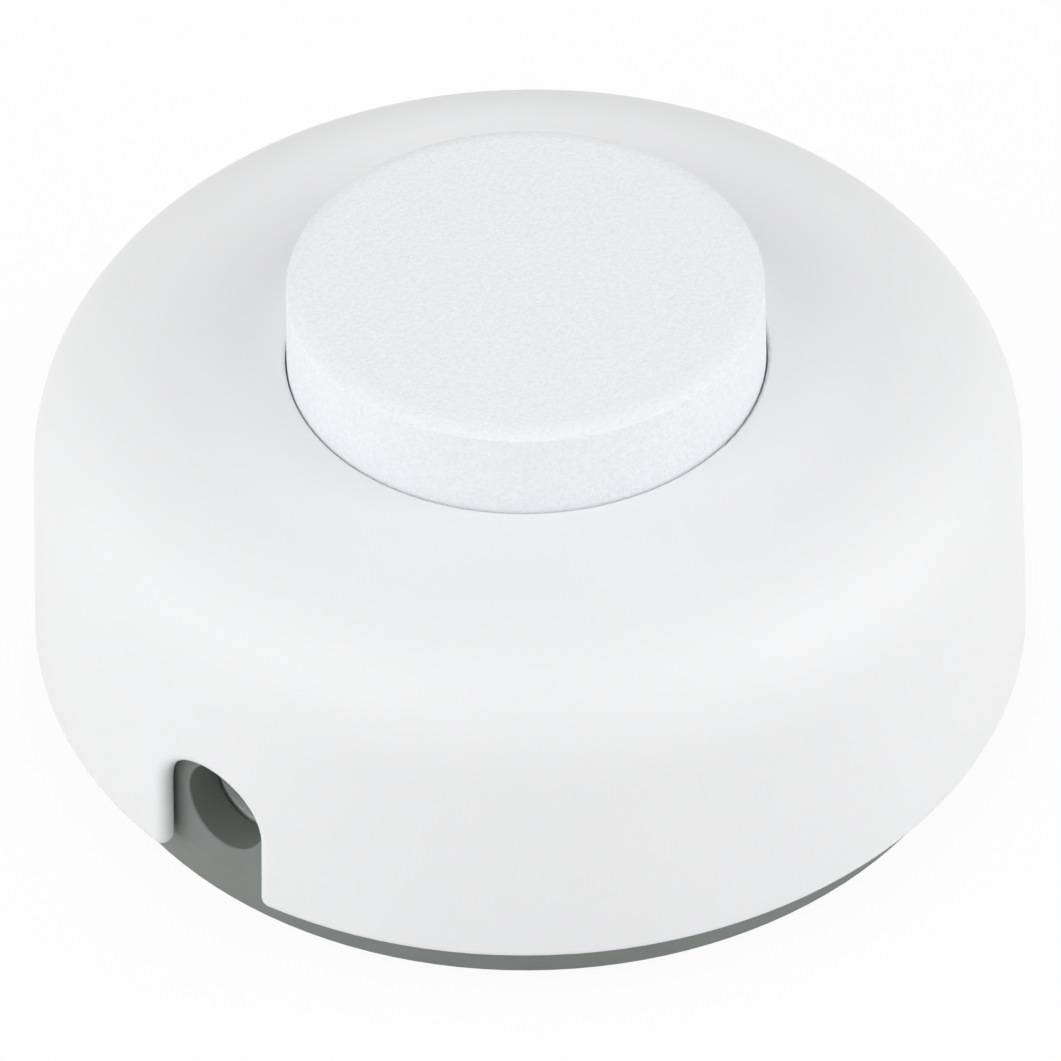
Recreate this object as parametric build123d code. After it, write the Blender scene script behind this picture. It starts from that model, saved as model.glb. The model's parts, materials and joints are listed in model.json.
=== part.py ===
from build123d import *
import os
from math import radians, sin, tan

# Inline foot switch for a lamp cord, in millimetres. It stands on its rubber feet at Z = 0.
# The cord line runs along X, with the inlet at -X and the outlet at +X.

# Housing
HOUSING_RADIUS = 35.0       # outside, at the lower lip
HOUSING_WALL = 1.6
HOUSING_DRAFT = 2.9         # degrees, on the side wall
SHOULDER_RADIUS = 8.9
DECK_HEIGHT = 27.4          # deck above the underside of the base
DECK_WALL = 2.0
LIP_HEIGHT = 3.5            # lower lip above the underside of the base
LIP_EDGE = 0.7              # rounding of the lip, inside and outside
OPENING_EDGE = 0.25         # rounding of the button opening
NOTCH_RADIUS = 4.25         # arch over each cord hole
NOTCH_RISE = 0.4            # middle of the arch above the cord line
NOTCH_EDGE = 0.7            # rounding of the notch, at its lower corners and along both its edges
COLLAR_DEPTH = 6.0          # guide collar of the button, below the top of the deck
COLLAR_WALL = 2.0
BOSS_RADIUS = 3.3
REST_RIB_COUNT = 8
REST_RIB_WIDTH = 1.2
REST_RIB_DEPTH = 1.7

# Push button
BUTTON_RADIUS = 16.45       # at the deck
BUTTON_RISE = 6.5           # above the deck
BUTTON_DRAFT = 1.5          # degrees, above the deck
BUTTON_ROLL = 0.4           # drop of the top from its flat middle to its edge
BUTTON_ROLL_WIDTH = 1.4
BUTTON_EDGE = 0.15
BUTTON_GAP = 0.1            # between the button and its collar
BUTTON_WALL = 1.6
BUTTON_TOP = 1.8
BUTTON_TRAVEL = 4.0
FLANGE_REACH = 1.6          # retaining flange, out from the skirt
FLANGE_THICKNESS = 1.6
KEY_COUNT = 4
KEY_WIDTH = 2.0
KEY_REACH = 1.0
KEY_LENGTH = 3.0
STOP_RIB_COUNT = 8
STOP_RIB_WIDTH = 1.4
DRIVE_PEG_RADIUS = 1.0

# Ratchet
TOOTH_COUNT = 4
ROTOR_STEP = 45.0           # degrees turned by one full press
ROTOR_RADIUS = 8.8
ROTOR_DISC = 3.0
ROTOR_HUB_RADIUS = 3.4
ROTOR_HUB_RISE = 2.8        # hub above the disc
CROWN_RADIUS = 8.0
CROWN_WALL = 2.4
TOOTH_OVERRUN = 0.9         # ramp beyond the stroke at each end
TOOTH_ROOT = 0.3            # lowest end of a ramp above the disc
FINGER_WIDTH = 1.6
FINGER_INSET = 0.5          # finger inside the faces of the crown
RAMP_GAP = 0.5              # finger above its ramp, measured upright
DRIVER_DISC = 2.0
DRIVER_WEB = 2.0
DRIVER_WALL = 2.0

# Return spring and its cup
SPRING_RADIUS = 10.0        # middle of the wire
SPRING_WIRE = 0.9
SPRING_TURNS = 4.5
SPRING_SIDE_COUNT = 8       # sides of the wire's section
CUP_FLOOR = 1.8
CUP_WALL = 1.3

# Pivot
PIN_RADIUS = 1.5
PIN_SEAT = 1.4              # floor left under the pin
PIN_HEAD_ROOM = 0.6         # pin past the driver's web at rest
PIN_CHAMFER = 0.4
PIN_BOSS_RADIUS = 3.2
WASHER_RADIUS = 3.1
WASHER_THICKNESS = 0.8

# Base
BASE_FLOOR = 2.4
BASE_TAPER = 10.0           # degrees, from the lip down to the underside
RIM_WALL = 1.8
RIM_LAP = 4.0               # rim inside the housing, above the lip
PILLAR_WALL = 1.3
PLINTH_HEIGHT = 2.0
TOWER_WALL = 2.6
INLET_WALL = 2.8
INLET_RADIUS = 7.0          # outside of the arched wall round the cord hole
CORD_BORE = 3.3
CORD_LEAD_IN = 0.2          # rounding of the hole's mouth
CORD_HEIGHT = 8.75          # cord line above the underside of the base

# Rubber feet
FOOT_RADIUS = 4.0
FOOT_COUNT = 4
FOOT_PROUD = 0.8
FOOT_RECESS = 1.0
FOOT_CHAMFER = 0.3
FOOT_INSET = 3.2            # foot in from the edge of the base

# Contacts and terminals
LEAF_THICKNESS = 0.8
LEAF_WIDTH = 5.0
TERMINAL_SIZE = 7.0
BRIDGE_OFF_TURN = 90.0      # degrees, bridge from the fixed contacts while the switch is off
BRIDGE_THICKNESS = 0.5
BRIDGE_WIDTH = 3.6
BRIDGE_RING = 6.0
TIP_RADIUS = 1.4
TIP_HEIGHT = 0.6
TIP_SHANK = 0.7
TIP_CIRCLE = 7.2            # contact tips from the pivot
STAKE_RADIUS = 0.7
STAKE_CIRCLE = 4.7
WIRE_WASHER_SIZE = 6.0
WIRE_WASHER_THICKNESS = 1.0
WIRE_WASHER_CORNER = 0.6

# Cord clamps
CLAMP_LENGTH = 4.0          # along the cord
CLAMP_BEHIND_WALL = 1.4     # clamp from the middle of the inlet wall
CLAMP_EAR = 3.5
CLAMP_CROWN = 2.2           # clamp above the cord
SADDLE_WALL = 1.6           # saddle beside the cord
SADDLE_RIDGE = 0.5          # height of a ridge above the trough
RIDGE_WIDTH = 0.6
GROOVE_COUNT = 2            # between the ridges
CLAMP_POST_RADIUS = 2.4

# Screws
TERMINAL_SCREW = 1.5        # radius of the thread
TERMINAL_SCREW_LENGTH = 4.0
CLAMP_SCREW = 1.3
CLAMP_SCREW_LENGTH = 8.5
HOUSING_SCREW = 1.5
HOUSING_SCREW_LENGTH = 12.0
HEAD_RATIO = 1.8            # head radius to thread radius
HEAD_HEIGHT = 1.8
HEAD_CHAMFER = 0.5
RECESS_DEPTH = 1.0
RECESS_WIDTH = 0.8
HEAD_SUNK = 2.2             # housing screw heads above the underside of the base

# Clearances
FIT = 0.25                  # fixed pieces that slide together
RUN = 0.06                  # rotor on its pin
THREAD = 0.05               # thread in its hole
MOVE = 0.4                  # between moving pieces
STOP = 0.2                  # left under the button at full press

# Heights
BASE_Z = FOOT_PROUD
FLOOR_Z = BASE_Z + BASE_FLOOR
LIP_Z = BASE_Z + LIP_HEIGHT
RIM_Z = LIP_Z + RIM_LAP
CORD_Z = BASE_Z + CORD_HEIGHT
NOTCH_Z = CORD_Z + NOTCH_RISE
DECK_Z = BASE_Z + DECK_HEIGHT
BUTTON_Z = DECK_Z + BUTTON_RISE
BUTTON_EDGE_Z = BUTTON_Z - BUTTON_ROLL
UNDER_BUTTON_Z = BUTTON_Z - BUTTON_TOP
COLLAR_Z = DECK_Z - COLLAR_DEPTH
FLANGE_Z = COLLAR_Z - FLANGE_THICKNESS
LEAF_Z = FLOOR_Z + PLINTH_HEIGHT
LEAF_TOP_Z = LEAF_Z + LEAF_THICKNESS
BRIDGE_Z = LEAF_TOP_Z + 2 * TIP_HEIGHT
ROTOR_Z = BRIDGE_Z + BRIDGE_THICKNESS
DISC_Z = ROTOR_Z + ROTOR_DISC
CUP_Z = DISC_Z + MOVE
SPRING_Z = CUP_Z + CUP_FLOOR
CUP_LIP_Z = FLANGE_Z - BUTTON_TRAVEL - STOP
DRIVER_Z = UNDER_BUTTON_Z - DRIVER_DISC
HEAD_Z = BASE_Z + HEAD_SUNK + HEAD_HEIGHT
TERMINAL_SEAT_Z = LEAF_TOP_Z + WIRE_WASHER_THICKNESS
TERMINAL_HOLE_Z = TERMINAL_SEAT_Z - TERMINAL_SCREW_LENGTH - FIT
CLAMP_SEAT_Z = CORD_Z + CLAMP_EAR
CLAMP_HOLE_Z = CLAMP_SEAT_Z - CLAMP_SCREW_LENGTH - FIT

# Radii and places
OPENING_RADIUS = BUTTON_RADIUS + BUTTON_GAP
BUTTON_TOP_RADIUS = BUTTON_RADIUS - (BUTTON_EDGE_Z - DECK_Z) * tan(radians(BUTTON_DRAFT))
SKIRT_RADIUS = BUTTON_RADIUS - BUTTON_WALL
FLANGE_RADIUS = BUTTON_RADIUS + FLANGE_REACH
CROWN_MIDDLE = CROWN_RADIUS - CROWN_WALL / 2
CUP_INNER = CROWN_RADIUS + MOVE
CUP_LIP_INNER = SPRING_RADIUS + SPRING_WIRE / 2 + FIT
CUP_OUTER = CUP_LIP_INNER + CUP_WALL
TOWER_INNER = ROTOR_RADIUS + MOVE
TOWER_OUTER = TOWER_INNER + TOWER_WALL
TERMINAL_X = TOWER_OUTER + LEAF_WIDTH / 2 + 2 * FIT
TERMINAL_Y = TOWER_OUTER + TERMINAL_SIZE / 2 + 2 * FIT
TROUGH_RADIUS = CORD_BORE + SADDLE_RIDGE
SADDLE_HALF = TROUGH_RADIUS + SADDLE_WALL
POST_Y = SADDLE_HALF + FIT + CLAMP_POST_RADIUS
HALF_STEP = ROTOR_STEP / 2

# Ramp of a ratchet tooth, along the tangent at its middle
RAMP_REACH = CROWN_MIDDLE * sin(radians(HALF_STEP))
RAMP_SLOPE = BUTTON_TRAVEL / (2 * RAMP_REACH)
TOOTH_HALF = RAMP_REACH + TOOTH_OVERRUN
TOOTH_MIDDLE_Z = DISC_Z + TOOTH_ROOT + RAMP_SLOPE * TOOTH_HALF
CREST_Z = TOOTH_MIDDLE_Z + RAMP_SLOPE * TOOTH_HALF
WEB_Z = CREST_Z + BUTTON_TRAVEL + MOVE

STANDING = (Align.CENTER, Align.CENTER, Align.MIN)


def wall_radius(height):
    """Outside of the housing's drafted wall at a height."""
    return HOUSING_RADIUS - (height - LIP_Z) * tan(radians(HOUSING_DRAFT))


def base_radius(height):
    """Outside of the base, which slides into the housing and narrows below its lip."""
    inside = wall_radius(max(height, LIP_Z)) - HOUSING_WALL - FIT
    return inside - max(LIP_Z - height, 0) * tan(radians(BASE_TAPER))


RIM_INNER = base_radius(RIM_Z) - RIM_WALL
PILLAR_RADIUS = HEAD_RATIO * HOUSING_SCREW + FIT + PILLAR_WALL
PILLAR_Y = RIM_INNER - PILLAR_RADIUS - FIT
FOOT_CIRCLE = base_radius(BASE_Z) - FOOT_INSET - FOOT_RADIUS
INLET_X = base_radius(CORD_Z) - INLET_WALL
CLAMP_X = INLET_X - CLAMP_BEHIND_WALL - CLAMP_LENGTH / 2


def turned(*outline):
    """Body of revolution about Z, from points of radius and height."""
    return revolve(Plane.XZ * make_face(Polyline(*outline, close=True)), Axis.Z)


def upright(radius, low, high, x=0.0, y=0.0):
    """Round post between two heights."""
    return Pos(x, y, low) * Cylinder(radius, high - low, align=STANDING)


def ring(inner, outer, low, high):
    return turned((inner, low), (outer, low), (outer, high), (inner, high))


def block(x_size, y_size, low, high, x=0.0, y=0.0):
    return Pos(x, y, low) * Box(x_size, y_size, high - low, align=STANDING)


def around(count, piece, start=0.0):
    """Copies of a piece, evenly spaced about Z."""
    return [Rot(0, 0, start + 360 * index / count) * piece for index in range(count)]


def both_ends(piece):
    """A piece at the inlet and its mirror image at the outlet."""
    return [piece, mirror(piece, Plane.YZ)]


def group(pieces):
    """Separate solids that share a node."""
    return Compound(children=[piece.solid() for piece in pieces])


def dome(inset, low, high, shoulder):
    """The housing's domed form, set in from its outside."""
    corner = (wall_radius(high) - inset, high)
    foot = (wall_radius(low) - inset, low)
    section = make_face(Polyline((0, low), foot, corner, (0, high), close=True))
    section = fillet(section.vertices().sort_by_distance((*corner, 0))[0], shoulder)
    return revolve(Plane.XZ * section, Axis.Z)


def arch(radius, middle, low, start, end):
    """Round-topped prism along X, its arch about a middle height."""
    outline = Pos(0, middle) * Circle(radius)
    outline += Pos(0, low) * Rectangle(2 * radius, middle - low, align=(Align.CENTER, Align.MIN))
    return extrude(Plane.YZ.offset(start) * outline, end - start)


def upper_housing():
    """White dome with the button's collar, the notches for the cord and the screw bosses."""
    inner_shoulder = SHOULDER_RADIUS - HOUSING_WALL
    shell = dome(0, LIP_Z, DECK_Z, SHOULDER_RADIUS)
    shell -= dome(HOUSING_WALL, LIP_Z, DECK_Z - DECK_WALL, inner_shoulder)

    collar = upright(OPENING_RADIUS + COLLAR_WALL, COLLAR_Z, DECK_Z)
    bosses = [upright(BOSS_RADIUS, RIM_Z, DECK_Z, y=side * PILLAR_Y) for side in (-1, 1)]
    rib_inner = wall_radius(RIM_Z) - HOUSING_WALL - REST_RIB_DEPTH
    rib_outer = wall_radius(RIM_Z) - HOUSING_WALL / 2
    rib_middle = (rib_inner + rib_outer) / 2
    rib = block(rib_outer - rib_inner, REST_RIB_WIDTH, RIM_Z, DECK_Z - SHOULDER_RADIUS, x=rib_middle)
    ribs = around(REST_RIB_COUNT, rib, start=180 / REST_RIB_COUNT)
    inside = dome(HOUSING_WALL / 2, LIP_Z, DECK_Z - DECK_WALL / 2, SHOULDER_RADIUS - HOUSING_WALL / 2)
    shell += [piece & inside for piece in (collar, *bosses, *ribs)]

    key_slot = block(
        KEY_REACH + 2 * FIT + OPENING_RADIUS,
        KEY_WIDTH + 2 * FIT,
        COLLAR_Z,
        COLLAR_Z + KEY_LENGTH + FIT,
        x=(OPENING_RADIUS + KEY_REACH + 2 * FIT) / 2,
    )
    shell -= upright(OPENING_RADIUS, COLLAR_Z, DECK_Z)
    shell -= around(KEY_COUNT, key_slot, start=180 / KEY_COUNT)
    rings = shell.edges().filter_by(GeomType.CIRCLE).group_by(Axis.Z)
    shell = fillet(rings[0], LIP_EDGE)
    rings = shell.edges().filter_by(GeomType.CIRCLE).group_by(Axis.Z)
    shell = fillet(rings[-1].sort_by(SortBy.RADIUS)[0], OPENING_EDGE)

    pilot_end = HEAD_Z + HOUSING_SCREW_LENGTH + 2 * FIT
    shell -= [upright(HOUSING_SCREW + THREAD, RIM_Z, pilot_end, y=side * PILLAR_Y) for side in (-1, 1)]
    notch = arch(NOTCH_RADIUS, NOTCH_Z, LIP_Z, -HOUSING_RADIUS, -INLET_X)
    shell -= both_ends(notch)
    # The lip is already round, so a rounding from a lower corner runs on over both edges of the arch.
    corners = shell.edges().filter_by(Axis.X).filter_by_position(Axis.Z, LIP_Z - FIT, LIP_Z + FIT)
    return fillet(corners, NOTCH_EDGE)


def push_button():
    """White cap with a retaining flange, guide keys and ribs that stop it on the spring cup."""
    edge = (BUTTON_TOP_RADIUS, BUTTON_EDGE_Z)
    flat = (BUTTON_TOP_RADIUS - BUTTON_ROLL_WIDTH, BUTTON_Z)
    side = Polyline(
        flat,
        (0, BUTTON_Z),
        (0, FLANGE_Z),
        (FLANGE_RADIUS, FLANGE_Z),
        (FLANGE_RADIUS, COLLAR_Z),
        (BUTTON_RADIUS, COLLAR_Z),
        (BUTTON_RADIUS, DECK_Z),
        edge,
    )
    section = make_face(side + TangentArc(flat, edge, tangent=(1, 0)))
    section = fillet(section.vertices().sort_by_distance((*edge, 0))[0], BUTTON_EDGE)
    cap = revolve(Plane.XZ * section, Axis.Z)
    top_inner = BUTTON_TOP_RADIUS - BUTTON_WALL
    cap -= turned(
        (0, FLANGE_Z),
        (SKIRT_RADIUS, FLANGE_Z),
        (SKIRT_RADIUS, DECK_Z),
        (top_inner, UNDER_BUTTON_Z),
        (0, UNDER_BUTTON_Z),
    )

    key = block(
        BUTTON_RADIUS + KEY_REACH - SKIRT_RADIUS,
        KEY_WIDTH,
        COLLAR_Z,
        COLLAR_Z + KEY_LENGTH,
        x=(BUTTON_RADIUS + KEY_REACH + SKIRT_RADIUS) / 2,
    )
    rib_inner = CUP_LIP_INNER + FIT
    rib_outer = SKIRT_RADIUS + BUTTON_WALL / 2
    rib = block(
        rib_outer - rib_inner,
        STOP_RIB_WIDTH,
        FLANGE_Z,
        UNDER_BUTTON_Z + BUTTON_TOP / 2,
        x=(rib_inner + rib_outer) / 2,
    )
    inside = turned(
        (0, FLANGE_Z),
        (rib_outer, FLANGE_Z),
        (rib_outer, DECK_Z),
        (BUTTON_TOP_RADIUS - BUTTON_WALL / 2, UNDER_BUTTON_Z + BUTTON_TOP / 2),
        (0, UNDER_BUTTON_Z + BUTTON_TOP / 2),
    )
    cap += around(KEY_COUNT, key, start=180 / KEY_COUNT)
    cap += [piece & inside for piece in around(STOP_RIB_COUNT, rib, start=180 / STOP_RIB_COUNT)]
    cap += drive_pegs(DRIVE_PEG_RADIUS, UNDER_BUTTON_Z - DRIVER_DISC + FIT, UNDER_BUTTON_Z)
    return cap


def drive_pegs(radius, low, high):
    """Pegs that carry the driver round with the button."""
    return [upright(radius, low, high, y=side * CROWN_MIDDLE) for side in (-1, 1)]


def ratchet_driver():
    """Flanged sleeve under the button, with a finger for each ratchet tooth."""
    inner = CROWN_RADIUS - DRIVER_WALL
    disc_radius = SPRING_RADIUS + SPRING_WIRE / 2
    sleeve = turned(
        (PIN_RADIUS + MOVE, WEB_Z),
        (CROWN_RADIUS, WEB_Z),
        (CROWN_RADIUS, DRIVER_Z),
        (disc_radius, DRIVER_Z),
        (disc_radius, UNDER_BUTTON_Z),
        (inner, UNDER_BUTTON_Z),
        (inner, WEB_Z + DRIVER_WEB),
        (PIN_RADIUS + MOVE, WEB_Z + DRIVER_WEB),
    )
    sleeve -= drive_pegs(DRIVE_PEG_RADIUS + FIT / 2, DRIVER_Z, UNDER_BUTTON_Z)

    middle = TOOTH_MIDDLE_Z + RAMP_SLOPE * RAMP_REACH + RAMP_GAP
    half = FINGER_WIDTH / 2
    tip = (
        (-half, middle - RAMP_SLOPE * half),
        (half, middle + RAMP_SLOPE * half),
        (half, WEB_Z + DRIVER_WEB / 2),
        (-half, WEB_Z + DRIVER_WEB / 2),
    )
    inner_face = CROWN_RADIUS - CROWN_WALL + FINGER_INSET
    finger_face = Plane.YZ.offset(inner_face) * make_face(Polyline(*tip, close=True))
    finger = extrude(finger_face, CROWN_WALL - 2 * FINGER_INSET)
    return sleeve + around(TOOTH_COUNT, finger, start=HALF_STEP)


def ratchet_rotor():
    """Crown of sawteeth on a disc, with stakes below that hold the contact bridge."""
    body = upright(ROTOR_RADIUS, ROTOR_Z, DISC_Z) + upright(ROTOR_HUB_RADIUS, DISC_Z, DISC_Z + ROTOR_HUB_RISE)
    ramp = (
        (-TOOTH_HALF, DISC_Z),
        (TOOTH_HALF, DISC_Z),
        (TOOTH_HALF, CREST_Z),
        (-TOOTH_HALF, DISC_Z + TOOTH_ROOT),
    )
    tooth = extrude(Plane.YZ * make_face(Polyline(*ramp, close=True)), CROWN_RADIUS + CROWN_WALL)
    tooth &= ring(CROWN_RADIUS - CROWN_WALL, CROWN_RADIUS, DISC_Z, CREST_Z)
    body += around(TOOTH_COUNT, tooth)
    body += stakes(STAKE_RADIUS, BRIDGE_Z - TIP_HEIGHT / 2, ROTOR_Z)
    return body - upright(PIN_RADIUS + RUN, ROTOR_Z, DISC_Z + ROTOR_HUB_RISE)


def stakes(radius, low, high):
    """Pair of heat-staked pegs between the rotor and the bridge."""
    return [upright(radius, low, high, x=side * STAKE_CIRCLE) for side in (-1, 1)]


def contact_bridge():
    """Springy bronze strip across the rotor, along Y while the switch is off."""
    outline = SlotOverall(2 * TIP_CIRCLE + BRIDGE_WIDTH, BRIDGE_WIDTH, rotation=BRIDGE_OFF_TURN)
    outline += Circle(BRIDGE_RING)
    outline -= Circle(WASHER_RADIUS + MOVE)
    strip = extrude(Pos(0, 0, BRIDGE_Z) * outline, BRIDGE_THICKNESS)
    strip -= stakes(STAKE_RADIUS + THREAD, BRIDGE_Z, ROTOR_Z)
    return strip - tip_shanks(TIP_SHANK + THREAD, BRIDGE_Z, ROTOR_Z, turn=BRIDGE_OFF_TURN)


def tip_shanks(radius, low, high, turn):
    """Two upright pins at the contact tips."""
    return around(2, upright(radius, low, high, x=TIP_CIRCLE), start=turn)


def contact_tip(face, back, end):
    """Silver contact rivet from its contact face to the end of its shank."""
    return upright(TIP_RADIUS, min(face, back), max(face, back), x=TIP_CIRCLE) + upright(
        TIP_SHANK, min(back, end), max(back, end), x=TIP_CIRCLE
    )


def live_outline():
    """Flat pattern of the inlet contact: an arm from the tower and a leg to its terminal."""
    inner = -(TIP_CIRCLE - TIP_RADIUS - FIT)
    outer = -(TERMINAL_X + LEAF_WIDTH / 2)
    arm = Pos((inner + outer) / 2, 0) * Rectangle(inner - outer, LEAF_WIDTH)
    leg = Pos(-TERMINAL_X, TERMINAL_Y / 2) * Rectangle(LEAF_WIDTH, TERMINAL_Y + LEAF_WIDTH)
    return arm + leg + Pos(-TERMINAL_X, TERMINAL_Y) * Rectangle(TERMINAL_SIZE, TERMINAL_SIZE)


def neutral_outline():
    """Flat pattern of the link that joins the two neutral terminals."""
    return Pos(0, -TERMINAL_Y) * Rectangle(2 * TERMINAL_X + TERMINAL_SIZE, TERMINAL_SIZE)


def terminal_places():
    return [(x_side * TERMINAL_X, y_side * TERMINAL_Y) for x_side in (-1, 1) for y_side in (-1, 1)]


def terminal_holes(radius, low, high):
    return [upright(radius, low, high, x=x, y=y) for x, y in terminal_places()]


def live_in_contact():
    """Brass leaf from the inlet's live terminal to its contact tip in the tower."""
    leaf = extrude(Pos(0, 0, LEAF_Z) * live_outline(), LEAF_THICKNESS)
    leaf -= terminal_holes(TERMINAL_SCREW + THREAD, LEAF_Z, LEAF_TOP_Z)
    return leaf - tip_shanks(TIP_SHANK + THREAD, LEAF_Z, LEAF_TOP_Z, turn=0)


def neutral_link():
    """Brass bar that carries the neutral straight through."""
    bar = extrude(Pos(0, 0, LEAF_Z) * neutral_outline(), LEAF_THICKNESS)
    return bar - terminal_holes(TERMINAL_SCREW + THREAD, LEAF_Z, LEAF_TOP_Z)


def wire_clamp_washers():
    """Square washers that hold the bare wires under the terminal screws."""
    washer = block(WIRE_WASHER_SIZE, WIRE_WASHER_SIZE, LEAF_TOP_Z, TERMINAL_SEAT_Z)
    washer = fillet(washer.edges().filter_by(Axis.Z), WIRE_WASHER_CORNER)
    washer -= upright(TERMINAL_SCREW + THREAD, LEAF_TOP_Z, TERMINAL_SEAT_Z)
    return group(Pos(x, y, 0) * washer for x, y in terminal_places())


def screw(thread, length, cross):
    """Pan-head screw, its head standing on Z = 0 and its shank below, with a cross or a plain slot."""
    head = upright(HEAD_RATIO * thread, 0, HEAD_HEIGHT)
    head = chamfer(head.edges().group_by(Axis.Z)[-1], HEAD_CHAMFER)
    span = HEAD_RATIO * thread * (1 if cross else 2)
    slot = block(span, RECESS_WIDTH, HEAD_HEIGHT - RECESS_DEPTH, HEAD_HEIGHT)
    head -= [slot, Rot(0, 0, 90) * slot] if cross else slot
    return head + upright(thread, -length, 0)


def terminal_screws():
    piece = screw(TERMINAL_SCREW, TERMINAL_SCREW_LENGTH, cross=False)
    return group(Pos(x, y, TERMINAL_SEAT_Z) * piece for x, y in terminal_places())


def clamp_places():
    return [(x_side * CLAMP_X, y_side * POST_Y) for x_side in (-1, 1) for y_side in (-1, 1)]


def clamp_screws():
    piece = screw(CLAMP_SCREW, CLAMP_SCREW_LENGTH, cross=True)
    return group(Pos(x, y, CLAMP_SEAT_Z) * piece for x, y in clamp_places())


def housing_screws():
    """Screws from below, sunk in the base, that pull the housing down."""
    piece = Rot(180, 0, 0) * screw(HOUSING_SCREW, HOUSING_SCREW_LENGTH, cross=True)
    return group(Pos(0, side * PILLAR_Y, HEAD_Z) * piece for side in (-1, 1))


def cord_line(radius):
    """Round bore along the whole cord line."""
    return Pos(0, 0, CORD_Z) * Rot(0, 90, 0) * Cylinder(radius, 2 * HOUSING_RADIUS)


def cord_saddle_inlet():
    """Trough under the cord, with ridges across it that bite into the sheath."""
    outer_end = FIT - INLET_X
    inner_end = CLAMP_LENGTH / 2 - CLAMP_X
    length = inner_end - outer_end
    saddle = block(length, 2 * SADDLE_HALF, FLOOR_Z, CORD_Z - FIT, x=outer_end + length / 2)
    saddle &= upright(-outer_end, FLOOR_Z, CORD_Z)
    saddle -= cord_line(CORD_BORE)
    groove_length = (length - (GROOVE_COUNT + 1) * RIDGE_WIDTH) / GROOVE_COUNT
    pitch = groove_length + RIDGE_WIDTH
    first = outer_end + RIDGE_WIDTH + groove_length / 2
    groove = block(groove_length, 2 * SADDLE_HALF, FLOOR_Z, CORD_Z, x=first) & cord_line(TROUGH_RADIUS)
    return saddle - [Pos(index * pitch, 0, 0) * groove for index in range(GROOVE_COUNT)]


def cord_clamp_inlet():
    """Bridge over the cord, screwed down to the posts beside the saddle."""
    ear_outline = SlotOverall(2 * (POST_Y + CLAMP_POST_RADIUS), CLAMP_LENGTH, rotation=90)
    ears = extrude(Pos(-CLAMP_X, 0, CORD_Z) * ear_outline, CLAMP_EAR)
    crown_radius = CORD_BORE + CLAMP_CROWN
    crown = block(CLAMP_LENGTH, 2 * crown_radius, CORD_Z, CORD_Z + crown_radius, x=-CLAMP_X)
    bridge = ears + (crown & cord_line(crown_radius)) - cord_line(CORD_BORE)
    return bridge - [upright(CLAMP_SCREW + FIT, CORD_Z, CLAMP_SEAT_Z, x=x, y=y) for x, y in clamp_places()]


def base():
    """Grey base: floor, rim, cord inlets, switch tower and the seats of all that is fixed."""
    body = turned(
        (0, BASE_Z),
        (base_radius(BASE_Z), BASE_Z),
        (base_radius(LIP_Z), LIP_Z),
        (base_radius(RIM_Z), RIM_Z),
        (RIM_INNER, RIM_Z),
        (RIM_INNER, FLOOR_Z),
        (0, FLOOR_Z),
    )

    inlet_top = CORD_Z + INLET_RADIUS
    inlet_shell = turned(
        (base_radius(LIP_Z) - INLET_WALL, FLOOR_Z),
        (base_radius(FLOOR_Z), FLOOR_Z),
        (base_radius(LIP_Z), LIP_Z),
        (base_radius(inlet_top), inlet_top),
        (base_radius(inlet_top) - INLET_WALL, inlet_top),
        (base_radius(LIP_Z) - INLET_WALL, LIP_Z),
    )
    body += both_ends(arch(INLET_RADIUS, CORD_Z, FLOOR_Z, -HOUSING_RADIUS, 0) & inlet_shell)

    tower = ring(TOWER_INNER, TOWER_OUTER, FLOOR_Z, CUP_Z)
    leaf_slot = block(2 * TOWER_OUTER, LEAF_WIDTH + 2 * FIT, LEAF_Z, CUP_Z)
    body += tower - leaf_slot
    body += upright(TOWER_OUTER, FLOOR_Z, LEAF_Z)
    body += upright(PIN_BOSS_RADIUS, LEAF_Z, ROTOR_Z - WASHER_THICKNESS)
    plinth = extrude(Pos(0, 0, FLOOR_Z) * live_outline(), PLINTH_HEIGHT)
    body += both_ends(plinth)
    body += extrude(Pos(0, 0, FLOOR_Z) * neutral_outline(), PLINTH_HEIGHT)
    body += [upright(PILLAR_RADIUS, FLOOR_Z, RIM_Z, y=side * PILLAR_Y) for side in (-1, 1)]
    body += [upright(CLAMP_POST_RADIUS, FLOOR_Z, CORD_Z, x=x, y=y) for x, y in clamp_places()]

    body -= upright(PIN_RADIUS + THREAD, BASE_Z + PIN_SEAT, ROTOR_Z)
    body -= terminal_holes(TERMINAL_SCREW + THREAD, TERMINAL_HOLE_Z, LEAF_Z)
    body -= [upright(CLAMP_SCREW + THREAD, CLAMP_HOLE_Z, CORD_Z, x=x, y=y) for x, y in clamp_places()]
    for side in (-1, 1):
        body -= upright(HEAD_RATIO * HOUSING_SCREW + FIT, BASE_Z, HEAD_Z, y=side * PILLAR_Y)
        body -= upright(HOUSING_SCREW + FIT, HEAD_Z, RIM_Z, y=side * PILLAR_Y)
    recess = upright(FOOT_RADIUS + FIT / 2, BASE_Z, BASE_Z + FOOT_RECESS, x=FOOT_CIRCLE)
    body -= around(FOOT_COUNT, recess, start=180 / FOOT_COUNT)
    body -= cord_bores()
    mouths = [(side * base_radius(CORD_Z), 0, CORD_Z + CORD_BORE) for side in (-1, 1)]
    return fillet([body.edges().sort_by_distance(mouth)[0] for mouth in mouths], CORD_LEAD_IN)


def cord_bores():
    """Cord holes through both inlet walls."""
    length = HOUSING_RADIUS - INLET_X + CLAMP_BEHIND_WALL
    bore = Pos(-HOUSING_RADIUS, 0, CORD_Z) * Rot(0, 90, 0) * Cylinder(CORD_BORE, length, align=STANDING)
    return both_ends(bore)


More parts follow.
